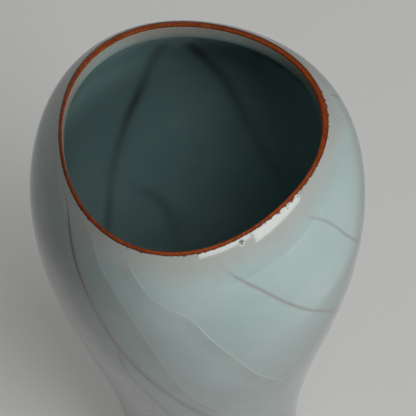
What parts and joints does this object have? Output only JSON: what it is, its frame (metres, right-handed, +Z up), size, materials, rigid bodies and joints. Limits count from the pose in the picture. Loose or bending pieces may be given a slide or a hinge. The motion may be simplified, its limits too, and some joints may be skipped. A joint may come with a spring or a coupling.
{
  "type": "vase",
  "caption": "Tall celadon vase with a wide soft-triangular mouth, full shoulder, slender foot, crackled blue-green glaze and iron-brown lip.",
  "frame": {"origin": "centre of the foot, on the surface the vase stands on", "axes": "+Z up along the vase's axis, from foot to mouth; the picture looks along +Y and down, with +X to its right"},
  "size_m": [0.126, 0.126, 0.3],
  "materials": {
    "stoneware": "unglazed grey-brown stoneware, hidden under the glaze",
    "bare_foot": "bare iron-rich clay, matt brown, smoothed by turning",
    "base_celadon": "glossy celadon glaze with a little crackle",
    "outer_celadon": "thick glossy blue-green celadon glaze with dark and pale crackle lines",
    "inner_celadon": "glossy celadon glaze with broad grey crackle lines",
    "iron_lip": "thin brown glaze over iron-rich clay, satin"
  },
  "bodies": {
    "root": {"clay_body": "stoneware", "foot_ring": "bare_foot", "base_glaze": "base_celadon", "outer_glaze": "outer_celadon", "inner_glaze": "inner_celadon", "iron_lip": "iron_lip"}
  },
  "joints": []
}
